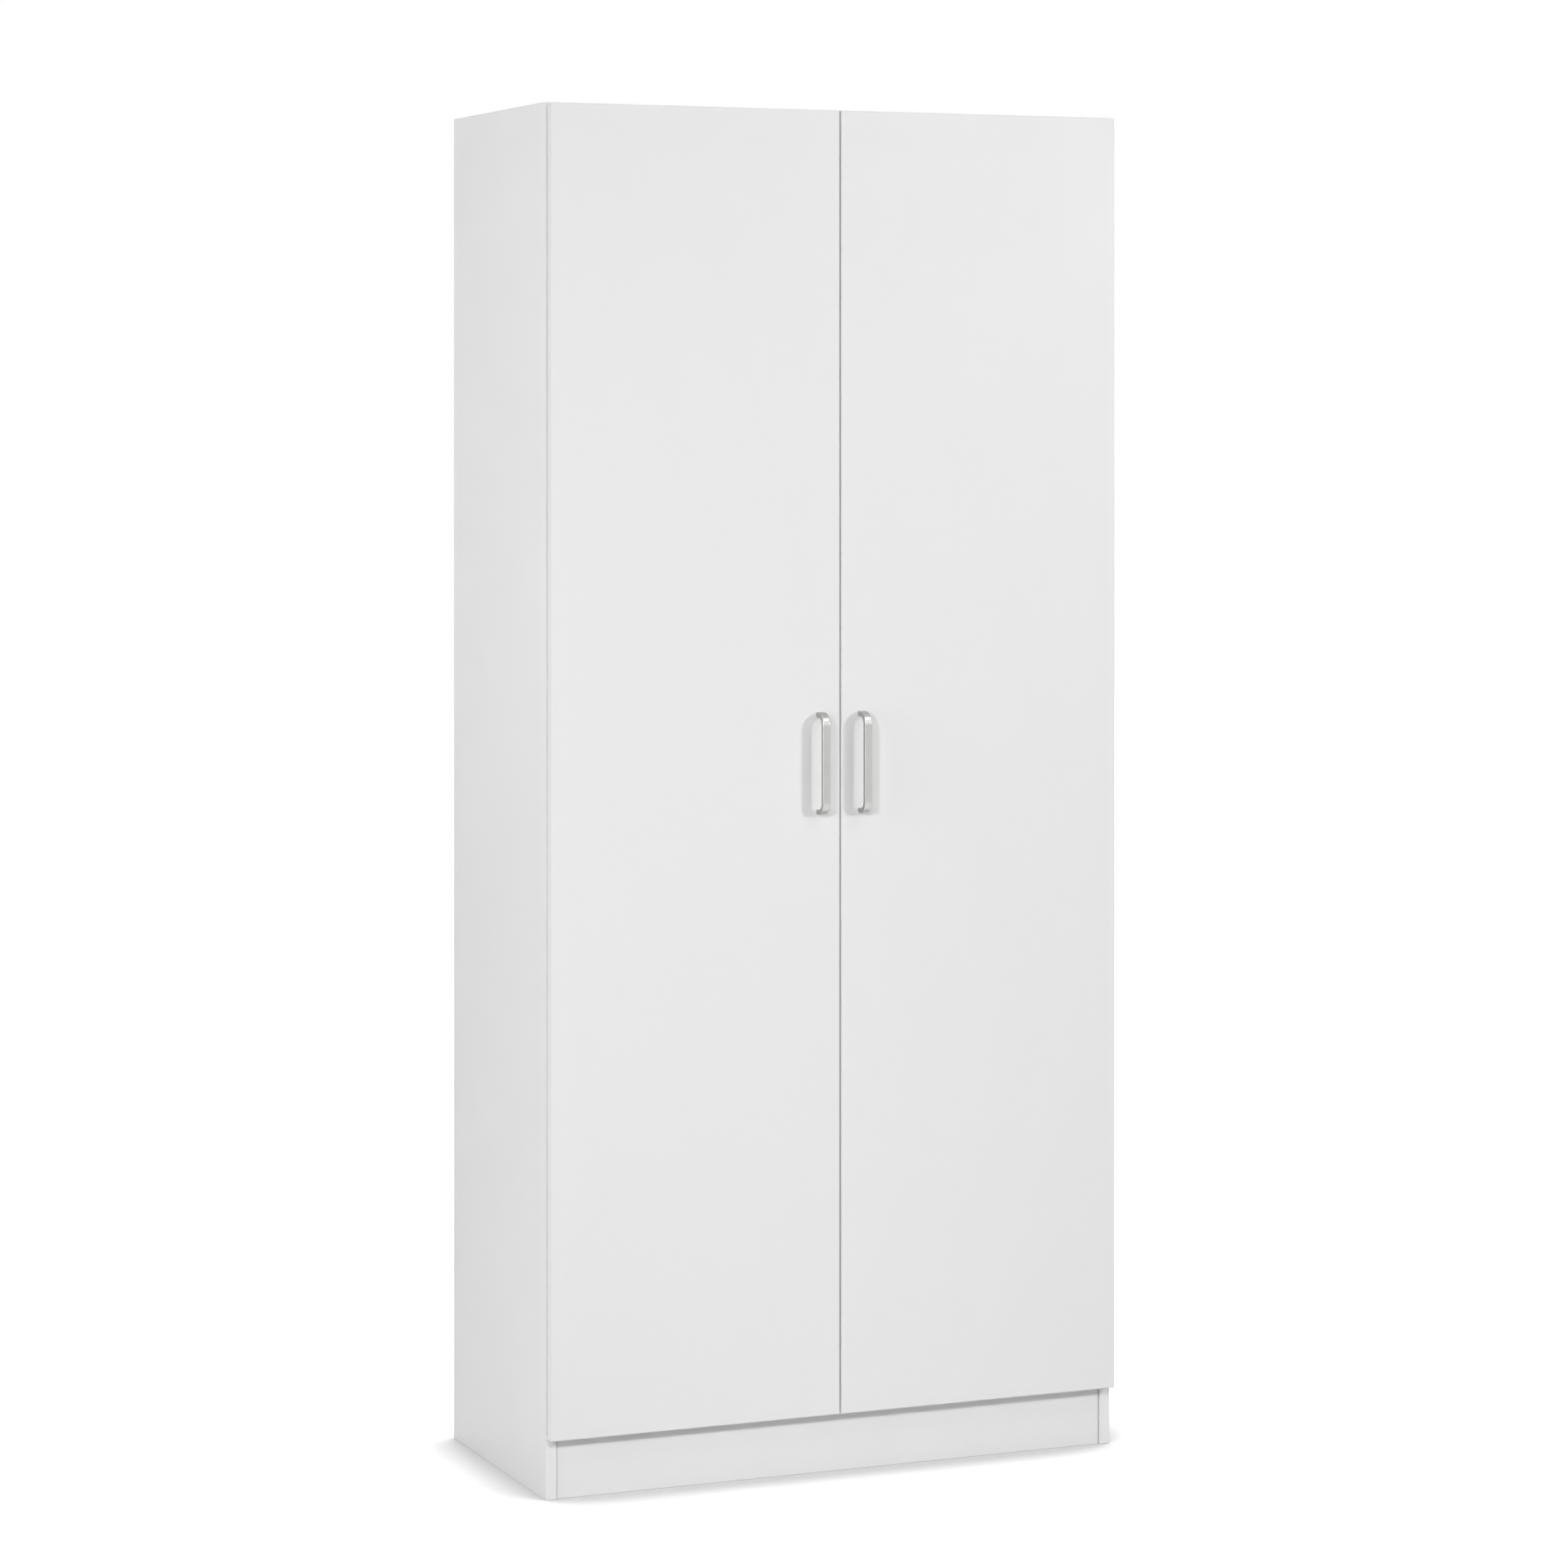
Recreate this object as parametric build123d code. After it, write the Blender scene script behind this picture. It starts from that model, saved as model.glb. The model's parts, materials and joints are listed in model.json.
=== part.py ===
from build123d import *
import os

# A two-door pantry cabinet, in millimetres. X runs to the right, Y to the back, Z up.
# The origin is the bottom centre of the whole box, handles included, so the front is -Y.

# Case
HEIGHT = 1803.0
WIDTH = 813.0
BOARD = 15.0
SIDE_DEPTH = 373.0
BACK = 3.0
EASE = 0.5

# Doors
DOOR = 15.0
DOOR_GAP = 3.0
DOOR_INSET = 1.5
CENTRE_GAP = 2.5
DOOR_TOP_DROP = 2.0

# Bow handles
HANDLE_SPACING = 128.0
HANDLE_OUT = 24.0
HANDLE_WIDTH = 10.0
HANDLE_THICK = 6.5
HANDLE_BEND = 14.0
HANDLE_ROUND = 1.2
HANDLE_FROM_CENTRE = 30.0
HANDLE_SCREW_R = 2.0
HANDLE_TAP = 9.0
HANDLE_HEAD_R = 4.0
HANDLE_HEAD = 2.4

# Bumpers
BUMPER = 2.7
BUMPER_R = 4.0
BUMPER_FROM_EDGE = 18.0

# Planes that the sizes above fix
REAR_Y = (BACK + SIDE_DEPTH + DOOR_GAP + DOOR + HANDLE_OUT) / 2
SIDE_BACK = REAR_Y - BACK
SIDE_FRONT = SIDE_BACK - SIDE_DEPTH
DOOR_BACK = SIDE_FRONT - DOOR_GAP
DOOR_FRONT = DOOR_BACK - DOOR
SIDE_X = WIDTH / 2
INNER_X = SIDE_X - BOARD

# Heights of the fixed boards' undersides
KICK_HEIGHT = 80.0
KICK_RECESS = 2.0
KICK_END_GAP = 1.0
BOTTOM_Z = KICK_HEIGHT
TOP_Z = HEIGHT - BOARD
FIXED_SHELF_Z = 845.0
DOOR_LOW = KICK_HEIGHT - 0.5
DOOR_HIGH = HEIGHT - DOOR_TOP_DROP
DOOR_MID = (DOOR_LOW + DOOR_HIGH) / 2
HANDLE_ZS = (DOOR_MID - HANDLE_SPACING / 2, DOOR_MID + HANDLE_SPACING / 2)
FIXED_BOARDS = (BOTTOM_Z, FIXED_SHELF_Z, TOP_Z)

# Adjustable shelves on pins in rows of holes
PIN_PITCH = 32.0
PIN_ROW_LIFT = 144.5
PIN_ROWS = (3, 11, 28, 38)
PIN_ROW_START = BOTTOM_Z + BOARD + PIN_ROW_LIFT
PIN_R = 2.5
PIN_HOLE_R = 2.6
PIN_DEPTH = 9.0
PIN_OUT = 8.0
PIN_FLAT = 2.2
PIN_COLLAR = 1.2
PIN_COLLAR_R = 3.6
SHELF_SETBACK = 20.0
SHELF_END_GAP = 0.5
SHELF_BACK_GAP = 1.0
SYSTEM_SETBACK = 37.0

# Knock-down fittings
CAM_R = 7.5
CAM_DEPTH = 12.0
CAM_FROM_END = 24.0
CAM_FROM_EDGE = 45.0
DOWEL_R = 4.0
DOWEL_FROM_CAM = 32.0
DOWEL_IN_SIDE = 10.0
DOWEL_IN_BOARD = 20.0
FIT = 0.1
CAM_SLOT = 4.5
BOLT_HOLE_R = 2.5
BOLT_HEAD_R = 3.2
BOLT_NECK_R = 2.0
BOLT_COLLAR = 2.0
BOLT_COLLAR_R = 3.4
WOOD_SCREW = 10.0
WOOD_SCREW_R = 1.7
WOOD_HEAD_R = 3.5
WOOD_HEAD = 2.0
PILOT_R = 1.9

# Corner blocks behind the kick board
BLOCK_XS = (-200.0, 200.0)
BLOCK_SIZE = 24.0
BLOCK_LENGTH = 30.0
BLOCK_WALL = 4.0
BLOCK_RIB = 2.5
BLOCK_SCREW = 14.0
BLOCK_SCREW_X = 6.5

# Back fixing and wall fixing
NAIL_R = 0.7
NAIL_LENGTH = 20.0
NAIL_HEAD_R = 1.8
NAIL_HEAD = 0.8
NAIL_SEAT = 1.0
NAILS_UP = 6
NAILS_ACROSS = 6
NAIL_FROM_SEAM = 4.0
SEAM_GAP = 0.5
BACK_INSET = 2.0
BRACKET_X = 250.0
BRACKET_WIDTH = 20.0
BRACKET_LEG = 40.0
BRACKET_REACH = 30.0
BRACKET_THICK = 2.0
WALL_HOLE_R = 2.5
WALL_HOLE_DROP = 24.0

# Hinges. Local x runs in from a side panel's outer face, local y back from its front edge.
HINGE_CLEAR = 85.0
HINGE_HEIGHTS = (
    BOTTOM_Z + BOARD + HINGE_CLEAR,
    FIXED_SHELF_Z + BOARD + HINGE_CLEAR,
    TOP_Z - HINGE_CLEAR,
)
DOOR_AXIS = (9.0, -14.0)
CUP_X = 23.0
CUP_R = 17.5
CUP_BORE_IN = 16.3
CUP_DEPTH = 11.5
CUP_WALL = 0.8
FLANGE = 1.0
EAR_X = 29.0
EAR_Z = 24.0
EAR_R = 5.0
FLANGE_WIDE = 0.8
CUP_HEAD = 1.2
PIN_BITE = 0.3
OUTER_CUP_PIVOT = (13.4, -5.0)
OUTER_BEND = (14.07, -7.41)
OUTER_ARM_PIVOT = (28.6, -10.0)
INNER_CUP_PIVOT = (11.0, -6.0)
INNER_BEND = (14.0, -10.0)
INNER_ARM_PIVOT = (31.0, -4.4)
LINK_HALF = 1.5
EYE_R = 2.3
PIVOT_R = 1.2
LINK_NEAR = 0.6
LINK_FAR = 4.8
CHEEK_NEAR = 5.2
CHEEK_FAR = 6.7
ARM_TOP = 31.0
ARM_WEB = 1.5
ARM_END = 62.0
ARM_WEB_START = 10.0
ARM_SCREW_YS = (24.0, 52.0)
ARM_SCREW_R = 2.5
ARM_HEAD_R = 4.2
ARM_HEAD = 2.2
RIVET_HEAD = 0.5
PLATE = 2.0
PLATE_BASE = 7.0
PLATE_BASE_HALF = 5.0
PLATE_START = 18.0
PLATE_Y = SYSTEM_SETBACK
PLATE_WING = 7.0
PLATE_SCREW_Z = 16.0
PLATE_HALF_Z = 24.0
PLATE_SCREW_IN = 10.0
PLATE_HEAD_R = 4.0
PLATE_HEAD = 1.6


def block(x0, x1, y0, y1, z0, z1):
    """A box between two corners."""
    middle = Pos((x0 + x1) / 2, (y0 + y1) / 2, (z0 + z1) / 2)
    return middle * Box(abs(x1 - x0), abs(y1 - y0), abs(z1 - z0))


def eased(x0, x1, y0, y1, z0, z1):
    """A board with its edges slightly broken, as edge banding leaves them."""
    board = block(x0, x1, y0, y1, z0, z1)
    return chamfer(board.edges(), EASE)


def rod(start, end, radius):
    """A cylinder from one point to another."""
    start = Vector(*start)
    run = Vector(*end) - start
    return extrude(Plane(origin=start, z_dir=run) * Circle(radius), amount=run.length)


def slab(points, z0, z1):
    """A flat plate from its outline in x and y."""
    return Pos(0, 0, z0) * extrude(make_face(Polyline(*points, close=True)), amount=z1 - z0)


def across(points, x0, x1):
    """A bar along x from its outline in y and z."""
    face = Plane(origin=(x0, 0, 0), x_dir=(0, 1, 0), z_dir=(1, 0, 0)) * make_face(Polyline(*points, close=True))
    return extrude(face, amount=x1 - x0)


def screw(seat, direction, length, shank_r, head_r, head_high):
    """A pan-head screw: the head stands on its seat, and the shank runs along the direction."""
    outline = [
        (0, -head_high),
        (head_r * 0.6, -head_high),
        (head_r, -head_high * 0.45),
        (head_r, 0),
        (shank_r, 0),
        (shank_r, length - shank_r),
        (0, length),
    ]
    solid = revolve(Plane.XZ * make_face(Polyline(*outline, close=True)), Axis.Z)
    return Plane(origin=seat, z_dir=direction) * solid


def joined(pieces):
    """One shape that holds every solid of a list, each still on its own."""
    return Compound(children=[solid for piece in pieces for solid in piece.solids()])


def mirrored(piece):
    """The same piece on the other side of the cabinet."""
    return joined([mirror(solid, about=Plane.YZ) for solid in piece.solids()])


def at_hinges(piece):
    """A hinge piece, given at height 0 in the hinge's own x and y, at each hinge of the left door."""
    return joined([Pos(-SIDE_X, SIDE_FRONT, z) * piece for z in HINGE_HEIGHTS])


# Places shared by the boards and their fittings
CAM_YS = (SIDE_FRONT + CAM_FROM_EDGE, SIDE_BACK - CAM_FROM_EDGE)
DOWEL_YS = (CAM_YS[0] + DOWEL_FROM_CAM, CAM_YS[1] - DOWEL_FROM_CAM)
PIN_YS = (SIDE_FRONT + SYSTEM_SETBACK, SIDE_BACK - SYSTEM_SETBACK)
PIN_ZS = [PIN_ROW_START + PIN_PITCH * row for row in PIN_ROWS]
KICK_FRONT = SIDE_FRONT + KICK_RECESS
KICK_BACK = KICK_FRONT + BOARD
KICK_DOWEL_ZS = (KICK_HEIGHT * 0.25, KICK_HEIGHT * 0.75)
SEAM_Z = FIXED_SHELF_Z + BOARD / 2
BRACKET_SCREW_Y = SIDE_BACK - BRACKET_REACH / 2
WALL_HOLE_Z = TOP_Z - WALL_HOLE_DROP


def side_panel():
    """The left side panel, drilled on its inner face."""
    holes = []
    for z in PIN_ZS:
        for step in (-1, 0, 1):
            holes += [(y, z + step * PIN_PITCH, PIN_HOLE_R, PIN_DEPTH + 1) for y in PIN_YS]
    for z in FIXED_BOARDS:
        holes += [(y, z + BOARD / 2, BOLT_HOLE_R, DOWEL_IN_SIDE) for y in CAM_YS]
        holes += [(y, z + BOARD / 2, DOWEL_R, DOWEL_IN_SIDE) for y in DOWEL_YS]
    holes += [(KICK_FRONT + BOARD / 2, z, DOWEL_R, DOWEL_IN_SIDE) for z in KICK_DOWEL_ZS]
    for z in HINGE_HEIGHTS:
        for side in (-1, 1):
            holes.append((SIDE_FRONT + PLATE_Y, z + side * PLATE_SCREW_Z, PIN_HOLE_R, PLATE_SCREW_IN + 1))
    panel = eased(-SIDE_X, -INNER_X, SIDE_FRONT, SIDE_BACK, 0, HEIGHT)
    return panel - [rod((-INNER_X, y, z), (-INNER_X - depth, y, z), r) for y, z, r, depth in holes]


def fixed_board(low):
    """A fixed horizontal board, bored for its cams, cam bolts and dowels."""
    mid = low + BOARD / 2
    cuts = []
    for side in (-1, 1):
        end = side * INNER_X
        cam_x = end - side * CAM_FROM_END
        for y in CAM_YS:
            cuts.append(rod((cam_x, y, low), (cam_x, y, low + CAM_DEPTH), CAM_R))
            cuts.append(rod((end, y, mid), (cam_x, y, mid), DOWEL_R))
        for y in DOWEL_YS:
            cuts.append(rod((end, y, mid), (end - side * DOWEL_IN_BOARD, y, mid), DOWEL_R))
    return eased(-INNER_X, INNER_X, SIDE_FRONT, SIDE_BACK, low, low + BOARD) - cuts


def top_panel():
    """The top, with pilot holes for the wall brackets' screws."""
    spots = [(x, BRACKET_SCREW_Y) for x in (-BRACKET_X, BRACKET_X)]
    return fixed_board(TOP_Z) - [rod((x, y, TOP_Z), (x, y, TOP_Z + WOOD_SCREW + 1), PILOT_R) for x, y in spots]


def bottom_panel():
    """The bottom, with pilot holes for the corner blocks' screws."""
    y = KICK_BACK + BLOCK_SCREW
    spots = [(x + BLOCK_SCREW_X, y) for x in BLOCK_XS]
    return fixed_board(BOTTOM_Z) - [rod((x, y, BOTTOM_Z), (x, y, BOTTOM_Z + WOOD_SCREW + 1), PILOT_R)
                                    for x, y in spots]


def adjustable_shelf(pin_z):
    """A loose shelf that rests on the flats of its pins."""
    low = pin_z + PIN_FLAT
    end = INNER_X - SHELF_END_GAP
    return eased(-end, end, SIDE_FRONT + SHELF_SETBACK, SIDE_BACK - SHELF_BACK_GAP, low, low + BOARD)


def kick_board():
    """The board under the bottom panel, drilled for end dowels and the corner blocks' screws."""
    cuts = []
    reach = INNER_X - KICK_END_GAP
    for side in (-1, 1):
        end = side * INNER_X
        for z in KICK_DOWEL_ZS:
            y = KICK_FRONT + BOARD / 2
            cuts.append(rod((end, y, z), (end - side * DOWEL_IN_BOARD, y, z), DOWEL_R))
    z = KICK_HEIGHT - BLOCK_SCREW
    cuts += [rod((x - BLOCK_SCREW_X, KICK_BACK, z), (x - BLOCK_SCREW_X, KICK_BACK - WOOD_SCREW - 1, z), PILOT_R)
             for x in BLOCK_XS]
    return eased(-reach, reach, KICK_FRONT, KICK_BACK, 0, KICK_HEIGHT) - cuts


def kick_block(x):
    """A moulded corner block that ties the kick board to the bottom panel, with two ribs."""
    x0 = x - BLOCK_LENGTH / 2
    x1 = x + BLOCK_LENGTH / 2
    y0, y1, y2 = KICK_BACK, KICK_BACK + BLOCK_WALL, KICK_BACK + BLOCK_SIZE
    z0, z1, z2 = KICK_HEIGHT, KICK_HEIGHT - BLOCK_WALL, KICK_HEIGHT - BLOCK_SIZE
    angle = across([(y0, z0), (y2, z0), (y2, z1), (y1, z1), (y1, z2), (y0, z2)], x0, x1)
    rib = [(y0, z0), (y2, z0), (y2, z1), (y1, z2), (y0, z2)]
    body = angle + across(rib, x0, x0 + BLOCK_RIB) + across(rib, x1 - BLOCK_RIB, x1)
    up_y = KICK_BACK + BLOCK_SCREW
    in_z = KICK_HEIGHT - BLOCK_SCREW
    up = rod((x + BLOCK_SCREW_X, up_y, z2), (x + BLOCK_SCREW_X, up_y, z0), PILOT_R)
    forward = rod((x - BLOCK_SCREW_X, y2, in_z), (x - BLOCK_SCREW_X, y0, in_z), PILOT_R)
    return body - up - forward


def kick_block_screws():
    """One screw up into the bottom panel and one forward into the kick board, in each block."""
    length = BLOCK_WALL + WOOD_SCREW
    up_z = KICK_HEIGHT - BLOCK_WALL
    screws = []
    for x in BLOCK_XS:
        up = (x + BLOCK_SCREW_X, KICK_BACK + BLOCK_SCREW, up_z)
        forward = (x - BLOCK_SCREW_X, KICK_BACK + BLOCK_WALL, KICK_HEIGHT - BLOCK_SCREW)
        screws.append(screw(up, (0, 0, 1), length, WOOD_SCREW_R, WOOD_HEAD_R, WOOD_HEAD))
        screws.append(screw(forward, (0, -1, 0), length, WOOD_SCREW_R, WOOD_HEAD_R, WOOD_HEAD))
    return joined(screws)


def end_spots(ys, heights):
    """Every place on both ends of the fixed boards: the side's sign, y and z."""
    return [(side, y, z) for side in (-1, 1) for y in ys for z in heights]


def toward_middle(side, y, z, piece):
    """A fitting drawn along +x from a board's left end, put at either end."""
    turn = 0 if side < 0 else 180
    return Pos(side * INNER_X, y, z) * Rot(0, 0, turn) * piece


def cams():
    """Cam locks in the undersides of the fixed boards, slotted for a driver."""
    body = Pos(0, 0, CAM_DEPTH / 2) * Cylinder(CAM_R, CAM_DEPTH)
    pocket = Pos(0, 0, BOARD / 2) * Sphere(BOLT_HEAD_R + 0.4)
    channel = block(-CAM_R, 0, -BOLT_NECK_R - 0.4, BOLT_NECK_R + 0.4,
                    BOARD / 2 - BOLT_NECK_R - 0.4, BOARD / 2 + BOLT_NECK_R + 0.4)
    slots = [Rot(0, 0, turn) * block(-CAM_SLOT, CAM_SLOT, -0.8, 0.8, 0, 2) for turn in (45, 135)]
    cam = Pos(CAM_FROM_END, 0, 0) * (body - pocket - channel - slots)
    return joined([toward_middle(*spot, cam) for spot in end_spots(CAM_YS, FIXED_BOARDS)])


def cam_bolts():
    """Steel bolts screwed into the side panels, whose round heads the cams pull on."""
    bolt = rod((0.5 - DOWEL_IN_SIDE, 0, 0), (0, 0, 0), BOLT_HOLE_R - FIT)
    bolt += rod((0, 0, 0), (BOLT_COLLAR, 0, 0), BOLT_COLLAR_R)
    bolt += rod((BOLT_COLLAR, 0, 0), (CAM_FROM_END, 0, 0), BOLT_NECK_R)
    bolt += Pos(CAM_FROM_END, 0, 0) * Sphere(BOLT_HEAD_R)
    mids = [low + BOARD / 2 for low in FIXED_BOARDS]
    return joined([toward_middle(*spot, bolt) for spot in end_spots(CAM_YS, mids)])


def dowels():
    """Wood dowels between the side panels and the boards that meet them."""
    dowel = rod((0.5 - DOWEL_IN_SIDE, 0, 0), (DOWEL_IN_BOARD - 0.5, 0, 0), DOWEL_R - FIT)
    mids = [low + BOARD / 2 for low in FIXED_BOARDS]
    spots = end_spots(DOWEL_YS, mids) + end_spots([KICK_FRONT + BOARD / 2], KICK_DOWEL_ZS)
    return joined([toward_middle(*spot, dowel) for spot in spots])


def shelf_pins():
    """Metal pins with a collar and a flat, four under each adjustable shelf."""
    pin = rod((-PIN_DEPTH, 0, 0), (PIN_OUT, 0, 0), PIN_R) + rod((0, 0, 0), (PIN_COLLAR, 0, 0), PIN_COLLAR_R)
    pin -= block(-PIN_DEPTH, PIN_OUT, -PIN_COLLAR_R, PIN_COLLAR_R, PIN_FLAT, PIN_COLLAR_R + 1)
    return joined([toward_middle(*spot, pin) for spot in end_spots(PIN_YS, PIN_ZS)])


def spread(start, end, count):
    """Evenly spaced places, both ends included."""
    return [start + (end - start) * step / (count - 1) for step in range(count)]


def nail_spots(low, high):
    """The x and z of the nails round one back panel, with its lowest and highest nails given."""
    edge = SIDE_X - BOARD / 2
    columns = [(side * edge, z) for side in (-1, 1) for z in spread(low, high, NAILS_UP)[1:-1]]
    rows = [(x, z) for z in (low, high) for x in spread(-edge, edge, NAILS_ACROSS)]
    return columns + rows


LOWER_NAILS = nail_spots(BOTTOM_Z + BOARD / 2, SEAM_Z - NAIL_FROM_SEAM)
UPPER_NAILS = nail_spots(SEAM_Z + NAIL_FROM_SEAM, TOP_Z + BOARD / 2)


def back_panel(low, high, nails):
    """A hardboard back, with a sunk seat for each nail."""
    edge = SIDE_X - BACK_INSET
    seats = [rod((x, REAR_Y, z), (x, REAR_Y - NAIL_SEAT, z), NAIL_HEAD_R + FIT) for x, z in nails]
    return block(-edge, edge, SIDE_BACK, REAR_Y, low, high) - seats


def upper_back():
    """The upper back, with the holes that let the wall screws through."""
    panel = back_panel(SEAM_Z + SEAM_GAP / 2, HEIGHT - BACK_INSET, UPPER_NAILS)
    return panel - [rod((x, SIDE_BACK, WALL_HOLE_Z), (x, REAR_Y, WALL_HOLE_Z), WALL_HOLE_R)
                    for x in (-BRACKET_X, BRACKET_X)]


def back_nails():
    """Nails through the backs into the edges of the boards."""
    nails = []
    for x, z in LOWER_NAILS + UPPER_NAILS:
        seat = REAR_Y - NAIL_SEAT
        head = rod((x, seat, z), (x, seat + NAIL_HEAD, z), NAIL_HEAD_R)
        nails.append(head + rod((x, seat, z), (x, REAR_Y - NAIL_LENGTH, z), NAIL_R))
    return joined(nails)


def wall_bracket(x):
    """A bent steel angle under the top, against the back, with a hole for a wall screw."""
    y0 = SIDE_BACK - BRACKET_REACH
    y1 = SIDE_BACK - BRACKET_THICK
    z0 = TOP_Z - BRACKET_LEG
    z1 = TOP_Z - BRACKET_THICK
    outline = [(y0, z1), (y1, z1), (y1, z0), (SIDE_BACK, z0), (SIDE_BACK, TOP_Z), (y0, TOP_Z)]
    half = BRACKET_WIDTH / 2
    angle = across(outline, x - half, x + half)
    wall_hole = rod((x, y1, WALL_HOLE_Z), (x, SIDE_BACK, WALL_HOLE_Z), WALL_HOLE_R)
    top_hole = rod((x, BRACKET_SCREW_Y, z1), (x, BRACKET_SCREW_Y, TOP_Z), PILOT_R + FIT)
    return angle - wall_hole - top_hole


def bracket_screws():
    """The screws that hold the wall brackets to the top."""
    seat = TOP_Z - BRACKET_THICK
    return joined([
        screw((x, BRACKET_SCREW_Y, seat), (0, 0, 1), BRACKET_THICK + WOOD_SCREW,
              WOOD_SCREW_R, WOOD_HEAD_R, WOOD_HEAD)
        for x in (-BRACKET_X, BRACKET_X)
    ])


def mounting_plate():
    """A cross-shaped plate: wings for two screws, and a raised base that the arm straddles."""
    wing = block(BOARD, BOARD + PLATE, PLATE_Y - PLATE_WING, PLATE_Y + PLATE_WING, -PLATE_HALF_Z, PLATE_HALF_Z)
    wing = fillet(wing.edges().filter_by(Axis.X), PLATE_WING * 0.7)
    base = block(BOARD, BOARD + PLATE_BASE, PLATE_START, ARM_END, -PLATE_BASE_HALF, PLATE_BASE_HALF)
    holes = [rod((BOARD, PLATE_Y, side * PLATE_SCREW_Z), (BOARD + PLATE, PLATE_Y, side * PLATE_SCREW_Z),
                 PIN_HOLE_R) for side in (-1, 1)]
    return wing + base - holes


def plate_screws():
    """Two screws through a mounting plate into the side panel."""
    seat = BOARD + PLATE
    return [screw((seat, PLATE_Y, side * PLATE_SCREW_Z), (-1, 0, 0), PLATE + PLATE_SCREW_IN,
                  PIN_R, PLATE_HEAD_R, PLATE_HEAD) for side in (-1, 1)]


def hinge_arm():
    """A folded arm: two cheeks that dip into the cup, joined by a web behind the links' sweep."""
    top = ARM_TOP
    low = BOARD + PLATE + 1
    cheek = [(low, ARM_END), (low, PLATE_START - 2), (23.0, 2.0), (24.0, -12.3), (30.5, -12.3),
             (33.0, -9.0), (33.4, -3.0), (top, 3.0), (top, ARM_END)]
    cheeks = [slab(cheek, CHEEK_NEAR, CHEEK_FAR), slab(cheek, -CHEEK_FAR, -CHEEK_NEAR)]
    web = block(top - ARM_WEB, top, ARM_WEB_START, ARM_END, -CHEEK_FAR, CHEEK_FAR)
    holes = [rod((top - ARM_WEB, y, 0), (top, y, 0), ARM_SCREW_R + FIT) for y in ARM_SCREW_YS]
    return web + cheeks - holes


def arm_screws():
    """The screws that clamp and adjust an arm on its mounting plate."""
    length = ARM_TOP - BOARD - PLATE_BASE
    return [screw((ARM_TOP, y, 0), (-1, 0, 0), length, ARM_SCREW_R, ARM_HEAD_R, ARM_HEAD)
            for y in ARM_SCREW_YS]


def arm_rivets():
    """The stub rivets in the cheeks, where the links meet the arm."""
    outer_x, outer_y = OUTER_ARM_PIVOT
    inner_x, inner_y = INNER_ARM_PIVOT
    outer = rod((outer_x, outer_y, LINK_FAR + FIT), (outer_x, outer_y, CHEEK_FAR + RIVET_HEAD), PIVOT_R)
    inner = rod((inner_x, inner_y, -LINK_FAR - FIT), (inner_x, inner_y, -CHEEK_FAR - RIVET_HEAD), PIVOT_R)
    return [outer, inner]


def hinge_cup():
    """A pressed cup with a flange and two ears, open towards the arm."""
    rim = -DOOR_GAP
    bottom = rim - CUP_DEPTH
    cup = rod((CUP_X, bottom, 0), (CUP_X, rim, 0), CUP_R)
    flange = rod((CUP_X, rim, 0), (CUP_X, rim + FLANGE, 0), CUP_R + FLANGE_WIDE)
    bar = block(EAR_X - EAR_R, EAR_X + EAR_R, rim, rim + FLANGE, -EAR_Z, EAR_Z)
    ears = [rod((EAR_X, rim, side * EAR_Z), (EAR_X, rim + FLANGE, side * EAR_Z), EAR_R) for side in (-1, 1)]
    holes = [rod((EAR_X, rim, side * EAR_Z), (EAR_X, rim + FLANGE, side * EAR_Z), PILOT_R) for side in (-1, 1)]
    bore = rod((CUP_X, bottom + CUP_WALL, 0), (CUP_X, rim + FLANGE, 0), CUP_BORE_IN)
    return cup + flange + bar + ears - bore - holes


def cup_screws():
    """Two screws through a cup's ears into the door."""
    seat = FLANGE - DOOR_GAP
    return [screw((EAR_X, seat, side * EAR_Z), (0, -1, 0), FLANGE + WOOD_SCREW,
                  WOOD_SCREW_R, WOOD_HEAD_R, CUP_HEAD) for side in (-1, 1)]


def cup_pins():
    """The two pins in a cup that the links turn on, each held by one side of the cup."""
    outer_x, outer_y = OUTER_CUP_PIVOT
    inner_x, inner_y = INNER_CUP_PIVOT
    outer_end = (CUP_BORE_IN ** 2 - (CUP_X - outer_x) ** 2) ** 0.5 + PIN_BITE
    inner_end = (CUP_BORE_IN ** 2 - (CUP_X - inner_x) ** 2) ** 0.5 + PIN_BITE
    outer = rod((outer_x, outer_y, LINK_NEAR - 0.3), (outer_x, outer_y, outer_end), PIVOT_R)
    inner = rod((inner_x, inner_y, 0.3 - LINK_NEAR), (inner_x, inner_y, -inner_end), PIVOT_R)
    return [outer, inner]


def flat_bar(start, end, z0, z1):
    """A flat bar with round ends from one point in x and y to another."""
    start = Vector(*start, z0)
    run = Vector(*end, z0) - start
    plane = Plane(origin=start + run / 2, x_dir=run, z_dir=(0, 0, 1))
    return extrude(plane * SlotCenterToCenter(run.length, 2 * LINK_HALF), amount=z1 - z0)


def link(start, bend, end, z0, z1):
    """A cranked link with a round eye at each end."""
    bar = flat_bar(start, bend, z0, z1) + flat_bar(bend, end, z0, z1)
    eyes = [rod((x, y, z0), (x, y, z1), EYE_R) for x, y in (start, end)]
    holes = [rod((x, y, z0), (x, y, z1), PIVOT_R + FIT) for x, y in (start, end)]
    return bar + eyes - holes


def outer_link():
    """The link nearer the side panel, in the upper half of the hinge."""
    return link(OUTER_CUP_PIVOT, OUTER_BEND, OUTER_ARM_PIVOT, LINK_NEAR, LINK_FAR)


def inner_link():
    """The link nearer the middle of the cabinet, in the lower half of the hinge."""
    return link(INNER_CUP_PIVOT, INNER_BEND, INNER_ARM_PIVOT, -LINK_FAR, -LINK_NEAR)


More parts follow.
